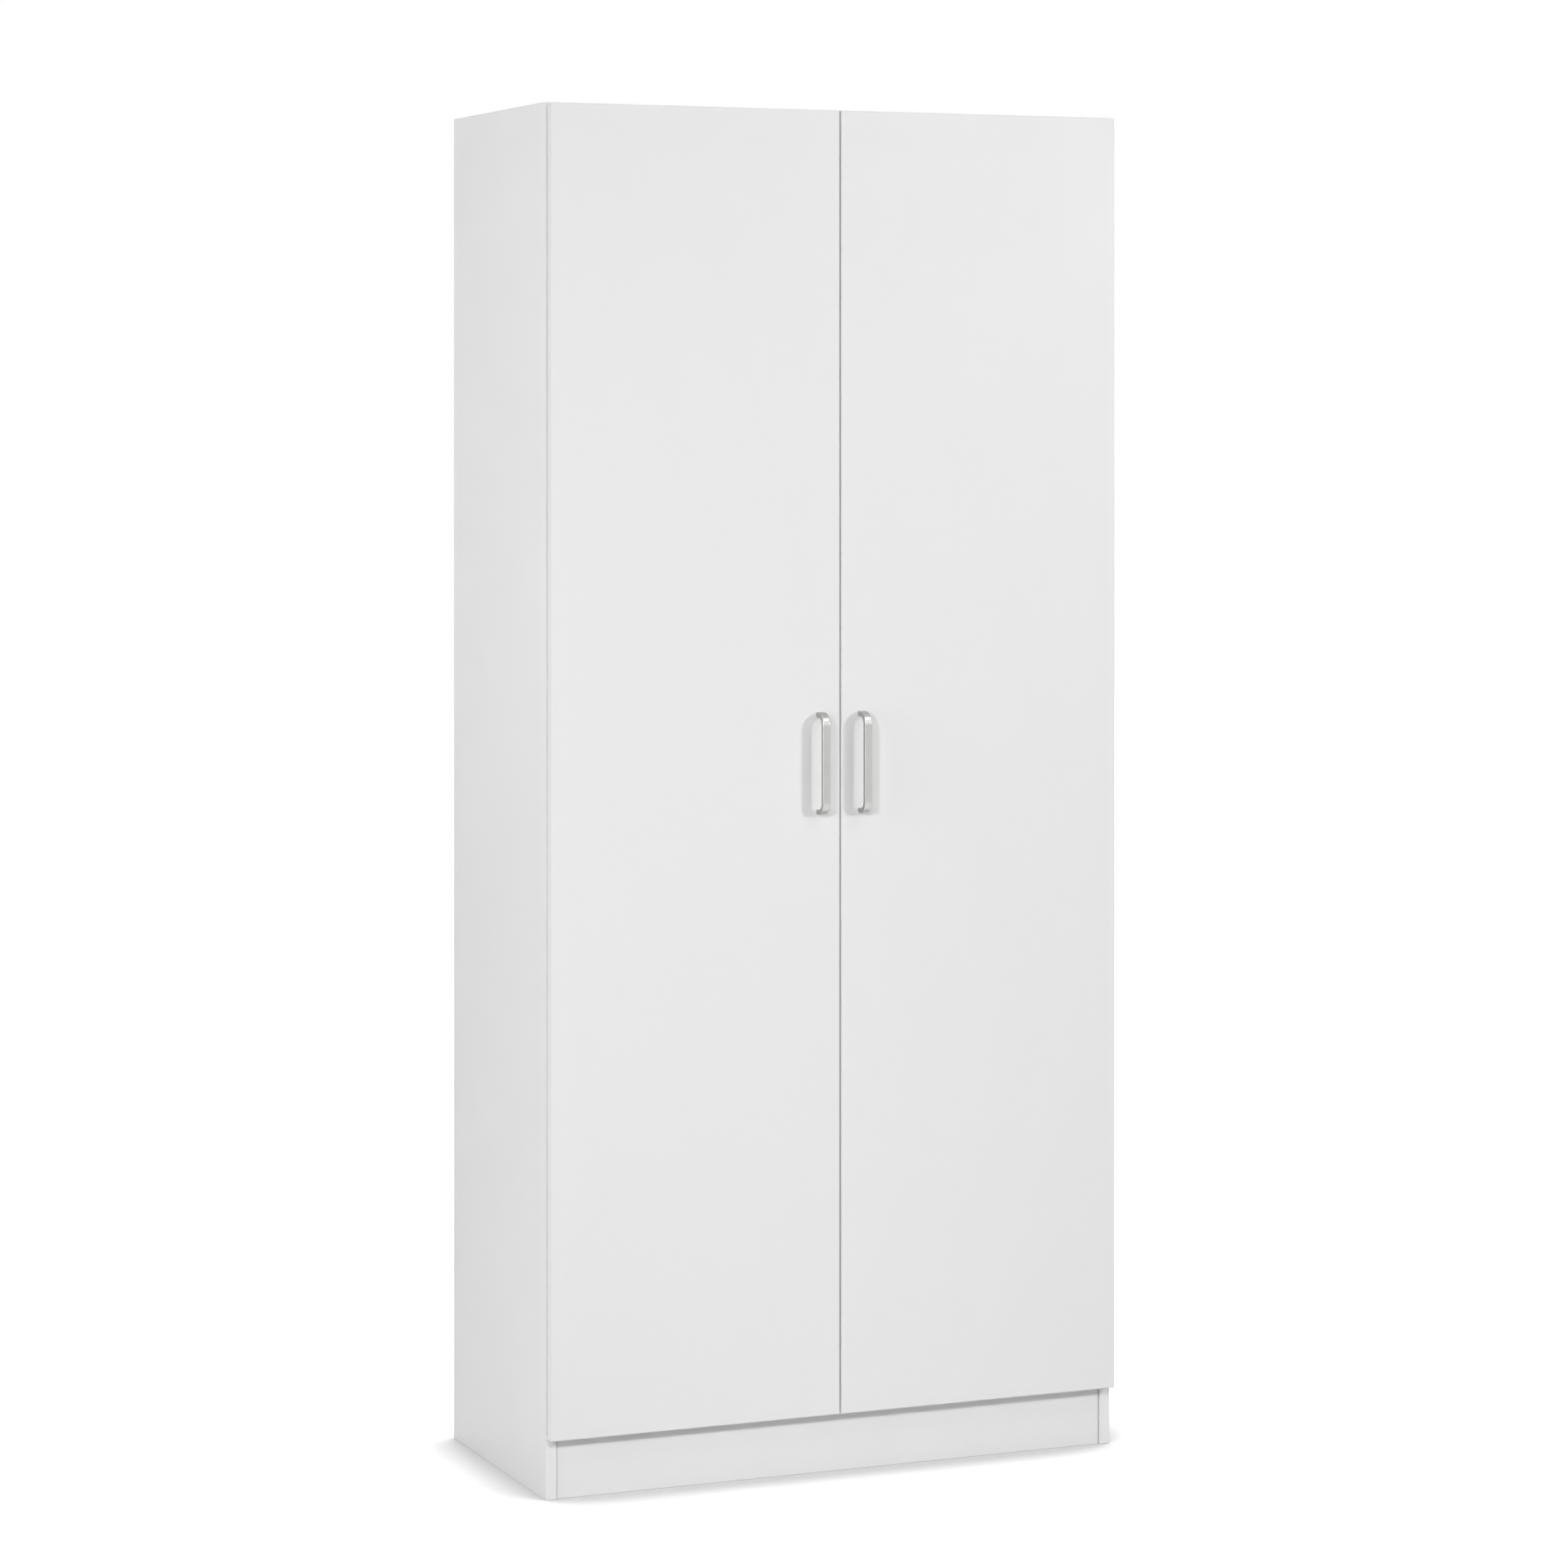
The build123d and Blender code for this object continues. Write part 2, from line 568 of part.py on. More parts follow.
def door_panel():
    """The left door: a flat slab bored on its back for cups, screws and handle screws."""
    cuts = []
    for z in HINGE_HEIGHTS:
        x = CUP_X - SIDE_X
        cuts.append(rod((x, DOOR_BACK, z), (x, DOOR_BACK - CUP_DEPTH - FIT, z), CUP_R + FIT))
        for side in (-1, 1):
            ear_x = EAR_X - SIDE_X
            ear_z = z + side * EAR_Z
            cuts.append(rod((ear_x, DOOR_BACK, ear_z), (ear_x, DOOR_BACK - WOOD_SCREW - 1, ear_z), PILOT_R))
    for z in HANDLE_ZS:
        x = -HANDLE_FROM_CENTRE
        cuts.append(rod((x, DOOR_BACK, z), (x, DOOR_FRONT, z), HANDLE_SCREW_R + 0.3))
    return eased(DOOR_INSET - SIDE_X, -CENTRE_GAP / 2, DOOR_FRONT, DOOR_BACK, DOOR_LOW, DOOR_HIGH) - cuts


def handle():
    """A bow handle: one strap bent twice, tapped at both feet."""
    out = HANDLE_OUT - HANDLE_THICK / 2
    low, high = HANDLE_ZS
    path = FilletPolyline((0, 0, low), (0, -out, low), (0, -out, high), (0, 0, high), radius=HANDLE_BEND)
    start = Plane(origin=(0, 0, low), x_dir=(1, 0, 0), z_dir=(0, -1, 0))
    strap = sweep(start * RectangleRounded(HANDLE_WIDTH, HANDLE_THICK, HANDLE_ROUND), path=path)
    taps = [rod((0, 0, z), (0, -HANDLE_TAP - 1, z), HANDLE_SCREW_R + FIT) for z in HANDLE_ZS]
    return Pos(-HANDLE_FROM_CENTRE, DOOR_FRONT, 0) * (strap - taps)


def handle_screws():
    """Two screws through the door into the handle's feet."""
    return joined([
        screw((-HANDLE_FROM_CENTRE, DOOR_BACK, z), (0, -1, 0), DOOR + HANDLE_TAP,
              HANDLE_SCREW_R, HANDLE_HEAD_R, HANDLE_HEAD)
        for z in HANDLE_ZS
    ])


def bumpers():
    """Soft pads on a door's back, opposite the front edges of the top and the bottom."""
    x = -CENTRE_GAP / 2 - BUMPER_FROM_EDGE
    pads = [rod((x, DOOR_BACK, low + BOARD / 2), (x, DOOR_BACK + BUMPER, low + BOARD / 2), BUMPER_R)
            for low in (BOTTOM_Z, TOP_Z)]
    return joined([chamfer(pad.edges().group_by(Axis.Y)[-1], 0.8) for pad in pads])


PARTS = {
    "top_panel": top_panel(),
    "bottom_panel": bottom_panel(),
    "fixed_shelf": fixed_board(FIXED_SHELF_Z),
    "kick_board": kick_board(),
    "back_panel_lower": back_panel(BOTTOM_Z + BACK_INSET, SEAM_Z - SEAM_GAP / 2, LOWER_NAILS),
    "back_panel_upper": upper_back(),
    "back_nails": back_nails(),
    "cams": cams(),
    "cam_bolts": cam_bolts(),
    "dowels": dowels(),
    "shelf_pins": shelf_pins(),
    "kick_blocks": joined([kick_block(x) for x in BLOCK_XS]),
    "kick_block_screws": kick_block_screws(),
    "wall_brackets": joined([wall_bracket(x) for x in (-BRACKET_X, BRACKET_X)]),
    "bracket_screws": bracket_screws(),
}
for number, pin_z in enumerate(PIN_ZS, start=1):
    PARTS[f"adjustable_shelf_{number}"] = adjustable_shelf(pin_z)

# Each of these is drawn on the left and mirrored for the right
PAIRS = {
    "side_panel": side_panel(),
    "mounting_plates": at_hinges(mounting_plate()),
    "plate_screws": joined([at_hinges(piece) for piece in plate_screws()]),
    "hinge_arms": at_hinges(hinge_arm()),
    "arm_screws": joined([at_hinges(piece) for piece in arm_screws()]),
    "arm_rivets": joined([at_hinges(piece) for piece in arm_rivets()]),
    "door_panel": door_panel(),
    "handle": handle(),
    "handle_screws": handle_screws(),
    "hinge_cups": at_hinges(hinge_cup()),
    "cup_screws": joined([at_hinges(piece) for piece in cup_screws()]),
    "cup_pins": joined([at_hinges(piece) for piece in cup_pins()]),
    "bumpers": bumpers(),
    "outer_links": at_hinges(outer_link()),
    "inner_links": at_hinges(inner_link()),
}
for name, piece in PAIRS.items():
    PARTS[f"left_{name}"] = piece
    PARTS[f"right_{name}"] = mirrored(piece)

os.makedirs("parts", exist_ok=True)
for name, piece in PARTS.items():
    export_step(piece, f"parts/{name}.step")
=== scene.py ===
import json
import math

import bmesh
import bpy
from mathutils import Matrix, Vector

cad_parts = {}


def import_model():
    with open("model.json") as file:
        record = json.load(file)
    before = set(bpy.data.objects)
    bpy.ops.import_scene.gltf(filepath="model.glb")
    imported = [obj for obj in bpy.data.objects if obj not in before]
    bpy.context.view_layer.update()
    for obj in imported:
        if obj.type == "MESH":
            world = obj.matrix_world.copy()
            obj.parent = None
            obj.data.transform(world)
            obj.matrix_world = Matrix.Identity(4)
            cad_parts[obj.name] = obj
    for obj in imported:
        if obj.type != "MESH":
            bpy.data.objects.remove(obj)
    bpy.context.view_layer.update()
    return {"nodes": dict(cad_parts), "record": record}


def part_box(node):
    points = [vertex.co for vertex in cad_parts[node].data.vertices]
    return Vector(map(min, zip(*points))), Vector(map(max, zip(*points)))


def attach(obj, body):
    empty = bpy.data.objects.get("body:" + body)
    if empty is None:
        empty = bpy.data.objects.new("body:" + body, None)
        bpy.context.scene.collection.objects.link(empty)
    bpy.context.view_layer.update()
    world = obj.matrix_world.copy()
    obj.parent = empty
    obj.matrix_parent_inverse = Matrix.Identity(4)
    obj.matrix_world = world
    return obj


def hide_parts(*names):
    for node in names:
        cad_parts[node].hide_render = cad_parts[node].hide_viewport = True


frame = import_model()

MM = 0.001

# Photographer's view: where the camera stands, which way it turns and what it frames
CAMERA_AT = (-2.3053, -5.4887, 1.4078)
CAMERA_YAW = 0.3971
CAMERA_LENS = 100.52
CAMERA_SHIFT_Y = -0.2396
SENSOR_WIDTH = 36
CAMERA_REACH = 60

# Light levels: a strength of 1 is white, and lamp powers are in watts. A softbox stands at an angle off the
# doors' normal and aims at a height on their fronts. Angles and spreads are in degrees
AMBIENT = 0.10
SOFTBOXES = {
    "left": {"angle": -42.0, "away": 3.20, "height": 2.15, "size": 0.45, "aim": 0.94, "spread": 180,
             "power": 49.0},
    "key": {"angle": -24.0, "away": 3.10, "height": 2.35, "size": 0.50, "aim": 0.05, "spread": 60,
            "power": 3.25},
    "right": {"angle": 42.0, "away": 3.40, "height": 2.20, "size": 0.48, "aim": 0.94, "spread": 180,
              "power": 66.0},
}
OVERHEADS = {
    "front": {"at": (1.0, -1.9, 3.2), "aim": (0.3, 0.0, 1.6), "size": 0.9, "spread": 180, "power": 13.5},
    "top": {"at": (0.0, 0.2, 4.2), "aim": (0.0, 0.2, 0.0), "size": 1.0, "spread": 60, "power": 3.0},
}
FILLS = {
    "left": {"at": (-4.2, -1.0, 1.7), "power": 68.0},
    "right": {"at": (4.2, 0.9, 1.7), "power": 60.0},
    "back": {"at": (0.0, 5.0, 1.7), "power": 80.0},
}
FILL_SIZE = 2.4

# Floor: its bounce onto the cabinet, its white as the camera sees it, and a painted shade near the cabinet,
# where that white glow dims with occlusion
FLOOR_REACH = 14.0
FLOOR_BOUNCE = 0.575
FLOOR_ROUGHNESS = 0.9
# Painted contact shade: within reach of the cabinet, the floor's glow drops with occlusion toward its shaded
# level
CONTACT_SAMPLES = 16
CONTACT_SPAN = (0.5, 1.0)
CONTACT_REACH = 0.13
PAINTED_SHADE_GLOW = 0.15
OPEN_LIFT = 1.0

# The part of a noise's range that is stretched to the full one
NOISE_SPAN = (0.3, 0.7)
GRAIN_SPAN = (0.35, 0.65)
SCRATCH_SPAN = (0.25, 0.75)
CHIP_SPAN = (0.0, 0.9)

# White melamine, its edge band and the raw core under it. Texture scales are per metre
WHITE_FACE = (0.860, 0.860, 0.858)
WHITE_FACE_DIM = (0.850, 0.850, 0.848)
WHITE_BAND = (0.875, 0.875, 0.872)
WHITE_CLOUD_SCALE = 3.0
WHITE_SHEEN = (0.44, 0.52)
SMUDGE_SCALE = 14.0
PEBBLE_SCALE = 700.0
PEBBLE_DEPTH = 0.02 * MM
BAND = 0.8 * MM
BAND_START = (0.4 * BAND, 0.6 * BAND)
SEAM = 0.25 * MM
SEAM_TONE = (0.55, 0.55, 0.54)
SEAM_STRENGTH = 0.35
SEAM_DIP = -2.0
RAW_FROM = 0.6 * MM
RAW_FULL = 0.9 * MM
RAW_ROUGHNESS = 0.9
FOOT_SKIN = (0.1 * MM, 0.3 * MM)
CHIP = (0.62, 0.47, 0.30)
CHIP_BINDER = (0.36, 0.25, 0.15)
CHIP_SCALE = 420
CHIP_STRETCH = (1, 1, 1.9)

# Hardboard backs: white paper inside, brown fibre outside
FIBRE_DARK = (0.36, 0.235, 0.135)
FIBRE_PALE = (0.52, 0.37, 0.235)
FIBRE_SCALE = 900.0
FIBRE_STRETCH = (1, 1, 0.25)
FIBRE_DEPTH = 0.05 * MM
MOTTLE_SCALE = 26.0
MOTTLE_SHARE = 0.5
PAPER_SKIN = (0.1 * MM, 0.3 * MM)
PAPER_ROUGHNESS = 0.45
FIBRE_ROUGHNESS = 0.62

# Metals by material slot: pale and dark tone, roughness, and the scratches' scale along each axis
METALS = {
    "brushed_nickel": ((0.47, 0.467, 0.46), (0.41, 0.407, 0.40), 0.30, (5200, 5200, 60)),
    "nickel_plated_steel": ((0.72, 0.71, 0.69), (0.62, 0.61, 0.59), 0.24, (300, 300, 300)),
    "zinc_plated_steel": ((0.68, 0.70, 0.72), (0.56, 0.58, 0.60), 0.34, (420, 420, 420)),
    "bright_steel": ((0.60, 0.60, 0.61), (0.48, 0.48, 0.49), 0.38, (900, 900, 900)),
    "zinc": ((0.56, 0.57, 0.59), (0.44, 0.45, 0.47), 0.48, (1500, 1500, 1500)),
}
METAL_CLOUD_SCALE = 60.0
SCRATCH_SHARE = 0.65
SCRATCH_DEPTH = 0.010 * MM
SCRATCH_GLOSS = (-0.06, 0.07)

# Dowel wood, moulded plastic and the clear bumpers
BEECH_DARK = (0.60, 0.42, 0.25)
BEECH_PALE = (0.76, 0.60, 0.41)
BEECH_STRETCH = (90, 2600, 2600)
BEECH_ROUGHNESS = 0.6
BEECH_DEPTH = 0.05 * MM
PLASTIC_DIM = (0.78, 0.78, 0.76)
PLASTIC_PALE = (0.84, 0.84, 0.82)
PLASTIC_SHEEN = (0.42, 0.55)
PLASTIC_CLOUD_SCALE = 40.0
PLASTIC_PEBBLE_SCALE = 1400.0
PLASTIC_DEPTH = 0.03 * MM
CLEAR_DIM = (0.80, 0.82, 0.82)
CLEAR_PALE = (0.88, 0.89, 0.88)
CLEAR_SHEEN = (0.16, 0.26)
CLEAR_CLOUD_SCALE = 300.0
CLEAR_TRANSMISSION = 0.55
CLEAR_IOR = 1.45

# Screw heads: the dome's rings and the recess, as shares of the head's radius and height
HEAD_SEGMENTS = 40
HEAD_DOME = ((0.62, 1.0), (0.80, 0.90), (0.92, 0.70), (0.985, 0.42), (1.0, 0.12), (0.985, 0.0))
RECESS_REACH = 0.52
RECESS_HALF_WIDTH = 0.115
RECESS_DEPTH = 0.75

# The recess's floor, as shares of its mouth's reach and width
RECESS_FLOOR = 0.45
RECESS_TAPER = 0.8

# Screw shanks: radii as shares of the shank's, the thread's start in pitches, the point's run in shank radii
# and its reach as a share of the screw's length
NECK = 0.98
THREAD_PITCH = 1.3 * MM
THREAD_START = 0.6
THREAD_CREST = 0.99
THREAD_ROOT = 0.72
POINT_RUN = 1.6
POINT_RADIUS = 0.08
POINT_REACH = 0.998

# Reading a CAD screw: how near two points are one, which share of the head's radius the rim has, and how far
# under the seat a point belongs to the shank
WELD = 1e-6
RIM_SHARE = 0.97
SEAT_CLEAR = 1e-4

# Angles in degrees: how the first screw is turned, each further one's turn, and the sharpest smooth edge
FIRST_TURN = 17
TURN_STEP = 31
SHARP_ANGLE = 38


# ---------------------------------------------------------------- node helpers

def new_material(name):
    """A node material: itself, its nodes, its links and its Principled shader."""
    material = bpy.data.materials.new(name)
    material.use_nodes = True
    nodes = material.node_tree.nodes
    return material, nodes, material.node_tree.links, nodes["Principled BSDF"]


def math_node(nodes, links, operation, first, second=None):
    """A Math node on two sockets or numbers, and its output."""
    node = nodes.new("ShaderNodeMath")
    node.operation = operation
    for index, value in enumerate((first, second)):
        if isinstance(value, (int, float)):
            node.inputs[index].default_value = value
        elif value is not None:
            links.new(value, node.inputs[index])
    return node.outputs[0]


def weighted(nodes, links, first, second, share):
    """Two values added, the first by a share and the second by the rest."""
    part = math_node(nodes, links, "MULTIPLY", first, share)
    rest = math_node(nodes, links, "MULTIPLY", second, 1 - share)
    return math_node(nodes, links, "ADD", part, rest)


def noise(nodes, links, vector, scale, detail, roughness=0.5):
    """A noise texture's factor, from 0 to 1."""
    node = nodes.new("ShaderNodeTexNoise")
    node.inputs["Scale"].default_value = scale
    node.inputs["Detail"].default_value = detail
    node.inputs["Roughness"].default_value = roughness
    links.new(vector, node.inputs["Vector"])
    return node.outputs["Fac"]


def remap(nodes, links, value, low, high, to_low, to_high):
    """A value taken from one range to another, held within it."""
    node = nodes.new("ShaderNodeMapRange")
    node.inputs["From Min"].default_value = low
    node.inputs["From Max"].default_value = high
    node.inputs["To Min"].default_value = to_low
    node.inputs["To Max"].default_value = to_high
    links.new(value, node.inputs["Value"])
    return node.outputs["Result"]


def mix_colour(nodes, links, factor, first, second):
    """Two colours mixed by a factor."""
    node = nodes.new("ShaderNodeMix")
    node.data_type = "RGBA"
    links.new(factor, node.inputs["Factor"])
    for socket, value in ((node.inputs[6], first), (node.inputs[7], second)):
        if isinstance(value, tuple):
            socket.default_value = (*value, 1.0)
        else:
            links.new(value, socket)
    return node.outputs[2]


def stretched(nodes, links, vector, scale):
    """A vector scaled unevenly, for grain that runs one way."""
    node = nodes.new("ShaderNodeMapping")
    node.inputs["Scale"].default_value = scale
    links.new(vector, node.inputs["Vector"])
    return node.outputs["Vector"]


def bump(nodes, links, shader, height, distance):
    """A bump of a real depth on a shader."""
    node = nodes.new("ShaderNodeBump")
    node.inputs["Distance"].default_value = distance
    links.new(height, node.inputs["Height"])
    links.new(node.outputs["Normal"], shader.inputs["Normal"])


def place(nodes):
    """Object coordinates, which are the frame's own metres."""
    return nodes.new("ShaderNodeTexCoord").outputs["Object"]


def seen_directly(nodes, links):
    """1 for a ray of the camera, of gloss or of transmission, and 0 for light's own bounces."""
    path = nodes.new("ShaderNodeLightPath")
    seen = math_node(nodes, links, "MAXIMUM", path.outputs["Is Camera Ray"], path.outputs["Is Glossy Ray"])
    return math_node(nodes, links, "MAXIMUM", seen, path.outputs["Is Transmission Ray"])


# ---------------------------------------------------------------- materials

def board_depths(nodes, links, low, high):
    """For a board between two corners: a point's own x, y and z, and its depth under each pair of faces."""
    split = nodes.new("ShaderNodeSeparateXYZ")
    links.new(place(nodes), split.inputs[0])
    depths = []
    for axis in range(3):
        middle = (low[axis] + high[axis]) / 2
        half = (high[axis] - low[axis]) / 2
        off_centre = math_node(nodes, links, "SUBTRACT", split.outputs[axis], middle)
        reach = math_node(nodes, links, "ABSOLUTE", off_centre)
        depths.append(math_node(nodes, links, "SUBTRACT", half, reach))
    return split, depths


def particleboard(nodes, links):
    """The raw core: pale chips in a darker binder."""
    chips = nodes.new("ShaderNodeTexVoronoi")
    chips.inputs["Scale"].default_value = CHIP_SCALE
    links.new(stretched(nodes, links, place(nodes), CHIP_STRETCH), chips.inputs["Vector"])
    tone = remap(nodes, links, chips.outputs["Distance"], *CHIP_SPAN, 0.0, 1.0)
    return mix_colour(nodes, links, tone, CHIP, CHIP_BINDER)


def melamine(node_name, raw_foot):
    """White melamine with banded edges, and raw core inside the bores and, where asked, on the foot."""
    low, high = (Vector(corner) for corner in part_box(node_name))
    material, nodes, links, shader = new_material(f"melamine_{node_name}")
    split, depths = board_depths(nodes, links, low, high)
    size = high - low
    thin = min(range(3), key=lambda axis: size[axis])
    wide = [axis for axis in range(3) if axis != thin]

    # The seam between a face and its edge band
    to_edge = math_node(nodes, links, "MINIMUM", depths[wide[0]], depths[wide[1]])
    off_seam = math_node(nodes, links, "ABSOLUTE", math_node(nodes, links, "SUBTRACT", to_edge, BAND))
    seam = remap(nodes, links, off_seam, SEAM / 2, SEAM, 1.0, 0.0)
    on_band = remap(nodes, links, to_edge, *BAND_START, 1.0, 0.0)

    # Bores show the core, and so does a foot that no band covers
    deep = math_node(nodes, links, "MINIMUM", to_edge, depths[thin])
    raw = remap(nodes, links, deep, RAW_FROM, RAW_FULL, 0.0, 1.0)
    if raw_foot:
        foot = remap(nodes, links, split.outputs[2], *FOOT_SKIN, 1.0, 0.0)
        raw = math_node(nodes, links, "MAXIMUM", raw, foot)

    vector = place(nodes)
    cloud = noise(nodes, links, vector, WHITE_CLOUD_SCALE, detail=3.0)
    face = mix_colour(nodes, links, cloud, WHITE_FACE, WHITE_FACE_DIM)
    banded = mix_colour(nodes, links, on_band, face, WHITE_BAND)
    line = math_node(nodes, links, "MULTIPLY", seam, SEAM_STRENGTH)
    seamed = mix_colour(nodes, links, line, banded, SEAM_TONE)
    links.new(mix_colour(nodes, links, raw, seamed, particleboard(nodes, links)), shader.inputs["Base Color"])

    smudges = noise(nodes, links, vector, SMUDGE_SCALE, detail=5.0)
    sheen = remap(nodes, links, smudges, *NOISE_SPAN, *WHITE_SHEEN)
    raw_rough = math_node(nodes, links, "MULTIPLY", raw, RAW_ROUGHNESS)
    links.new(math_node(nodes, links, "MAXIMUM", sheen, raw_rough), shader.inputs["Roughness"])
    pebble = noise(nodes, links, vector, PEBBLE_SCALE, detail=2.0)
    dip = math_node(nodes, links, "MULTIPLY", seam, SEAM_DIP)
    bump(nodes, links, shader, math_node(nodes, links, "ADD", pebble, dip), PEBBLE_DEPTH)
    return material


def hardboard(node_name):
    """A thin back: white paper on the inside, pressed brown fibre on the outside."""
    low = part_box(node_name)[0]
    material, nodes, links, shader = new_material(f"hardboard_{node_name}")
    vector = place(nodes)
    split = nodes.new("ShaderNodeSeparateXYZ")
    links.new(vector, split.inputs[0])
    inside = remap(nodes, links, split.outputs[1], *(low[1] + depth for depth in PAPER_SKIN), 1.0, 0.0)
    mottle = noise(nodes, links, vector, MOTTLE_SCALE, detail=8.0, roughness=0.65)
    strands = stretched(nodes, links, vector, FIBRE_STRETCH)
    fibre = noise(nodes, links, strands, FIBRE_SCALE, detail=6.0, roughness=0.7)
    tone = remap(nodes, links, weighted(nodes, links, mottle, fibre, MOTTLE_SHARE), *GRAIN_SPAN, 0.0, 1.0)
    brown = mix_colour(nodes, links, tone, FIBRE_DARK, FIBRE_PALE)
    links.new(mix_colour(nodes, links, inside, brown, WHITE_FACE), shader.inputs["Base Color"])
    rough = remap(nodes, links, inside, 0.0, 1.0, FIBRE_ROUGHNESS, PAPER_ROUGHNESS)
    links.new(rough, shader.inputs["Roughness"])
    bump(nodes, links, shader, fibre, FIBRE_DEPTH)
    return material


def scratched_metal(name, colour, dark, rough, grain):
    """Metal with fine scratches, which run one way where the grain is uneven, and slight clouding."""
    material, nodes, links, shader = new_material(name)
    shader.inputs["Metallic"].default_value = 1.0
    vector = place(nodes)
    lines = noise(nodes, links, stretched(nodes, links, vector, grain), 1.0, detail=6.0, roughness=0.7)
    cloud = noise(nodes, links, vector, METAL_CLOUD_SCALE, detail=3.0)
    blend = weighted(nodes, links, lines, cloud, SCRATCH_SHARE)
    tone = remap(nodes, links, blend, *NOISE_SPAN, 0.0, 1.0)
    links.new(mix_colour(nodes, links, tone, dark, colour), shader.inputs["Base Color"])
    gloss = remap(nodes, links, lines, *SCRATCH_SPAN, *(rough + change for change in SCRATCH_GLOSS))
    links.new(gloss, shader.inputs["Roughness"])
    bump(nodes, links, shader, lines, SCRATCH_DEPTH)
    return material


def beech():
    """Dowel wood: a straight grain with short darker flecks."""
    material, nodes, links, shader = new_material("beech")
    vector = stretched(nodes, links, place(nodes), BEECH_STRETCH)
    grain = noise(nodes, links, vector, 1.0, detail=5.0, roughness=0.6)
    tone = remap(nodes, links, grain, *GRAIN_SPAN, 0.0, 1.0)
    links.new(mix_colour(nodes, links, tone, BEECH_DARK, BEECH_PALE), shader.inputs["Base Color"])
    shader.inputs["Roughness"].default_value = BEECH_ROUGHNESS
    bump(nodes, links, shader, grain, BEECH_DEPTH)
    return material


def moulded_plastic():
    """White moulded plastic with a faint pebble."""
    material, nodes, links, shader = new_material("white_plastic")
    vector = place(nodes)
    pebble = noise(nodes, links, vector, PLASTIC_PEBBLE_SCALE, detail=3.0)
    cloud = noise(nodes, links, vector, PLASTIC_CLOUD_SCALE, detail=3.0)
    links.new(mix_colour(nodes, links, cloud, PLASTIC_DIM, PLASTIC_PALE), shader.inputs["Base Color"])
    links.new(remap(nodes, links, cloud, *NOISE_SPAN, *PLASTIC_SHEEN), shader.inputs["Roughness"])
    bump(nodes, links, shader, pebble, PLASTIC_DEPTH)
    return material


def clear_pad():
    """The soft clear plastic of a door bumper."""
    material, nodes, links, shader = new_material("clear_rubber")
    cloud = noise(nodes, links, place(nodes), CLEAR_CLOUD_SCALE, detail=3.0)
    links.new(mix_colour(nodes, links, cloud, CLEAR_DIM, CLEAR_PALE), shader.inputs["Base Color"])
    links.new(remap(nodes, links, cloud, *NOISE_SPAN, *CLEAR_SHEEN), shader.inputs["Roughness"])
    shader.inputs["Transmission Weight"].default_value = CLEAR_TRANSMISSION
    shader.inputs["IOR"].default_value = CLEAR_IOR
    return material


def shared_materials():
    """The materials of everything but the boards and backs, by the record's slots."""
    metals = {slot: scratched_metal(slot, *finish) for slot, finish in METALS.items()}
    return metals | {"beech": beech(), "white_plastic": moulded_plastic(), "clear_rubber": clear_pad()}


def dress_nodes(shared):
    """Every CAD node gets the material of what it is made of."""
    for part in frame["record"]["subparts"]:
        name = part["node"]
        slot = part["material_slot"]
        if slot == "white_melamine":
            material = melamine(name, raw_foot=name.endswith("side_panel") or name == "kick_board")
        elif slot == "hardboard":
            material = hardboard(name)
        else:
            material = shared[slot]
        node = frame["nodes"][name]
        if not node.material_slots:
            node.data.materials.append(material)
        for socket in node.material_slots:
            socket.material = material


# ---------------------------------------------------------------- screws

def islands(node_name):
    """The separate solids of a CAD node, each as a list of its points."""
    bm = bmesh.new()
    bm.from_mesh(frame["nodes"][node_name].data)
    bmesh.ops.remove_doubles(bm, verts=bm.verts, dist=WELD)
    left = set(bm.verts)
    groups = []
    while left:
        group = []
        front = [left.pop()]
        while front:
            vertex = front.pop()
            group.append(vertex.co.copy())
            for edge in vertex.link_edges:
                other = edge.other_vert(vertex)
                if other in left:
                    left.remove(other)
                    front.append(other)
        groups.append(group)
    bm.free()
    return groups


def measured_screw(points):
    """Where a CAD screw sits and its sizes: seat, direction, length, radii and head height."""
    low = Vector([min(point[axis] for point in points) for axis in range(3)])
    high = Vector([max(point[axis] for point in points) for axis in range(3)])
    size = high - low
    along = max(range(3), key=lambda axis: size[axis])
    centre = (low + high) / 2
    across = [axis for axis in range(3) if axis != along]
    reach = [(point[along], math.hypot(*(point[axis] - centre[axis] for axis in across))) for point in points]
    head_radius = max(radius for _, radius in reach)
    rim = [place_along for place_along, radius in reach if radius > RIM_SHARE * head_radius]
    toward = 1 if centre[along] > sum(rim) / len(rim) else -1
    seat_at = max(rim) if toward > 0 else min(rim)
    top_at = low[along] if toward > 0 else high[along]
    tip_at = high[along] if toward > 0 else low[along]
    shank = [radius for place_along, radius in reach if (place_along - seat_at) * toward > SEAT_CLEAR]
    seat = centre.copy()
    seat[along] = seat_at
    direction = Vector((0, 0, 0))
    direction[along] = toward
    return seat, direction, abs(tip_at - seat_at), max(shank), head_radius, abs(seat_at - top_at)


def ring(bm, radius, z):
    """A closed ring of points round the z axis."""
    step = 2 * math.pi / HEAD_SEGMENTS
    return [bm.verts.new((radius * math.cos(step * k), radius * math.sin(step * k), z))
            for k in range(HEAD_SEGMENTS)]


def skin(bm, first, second):
    """Quads between two closed loops of as many points."""
    count = len(first)
    for k in range(count):
        after = (k + 1) % count
        bm.faces.new((first[k], first[after], second[after], second[k]))


def cross(bm, reach, half_width, z):
    """The twelve corners of a cross, as a closed loop."""
    corners = []
    for turn in range(4):
        spin = Matrix.Rotation(turn * math.pi / 2, 2)
        for corner in ((half_width, half_width), (reach, half_width), (reach, -half_width)):
            flat = spin @ Vector(corner)
            corners.append((math.atan2(flat.y, flat.x), flat))
    corners.sort(key=lambda pair: pair[0])
    return [bm.verts.new((flat.x, flat.y, z)) for _, flat in corners]


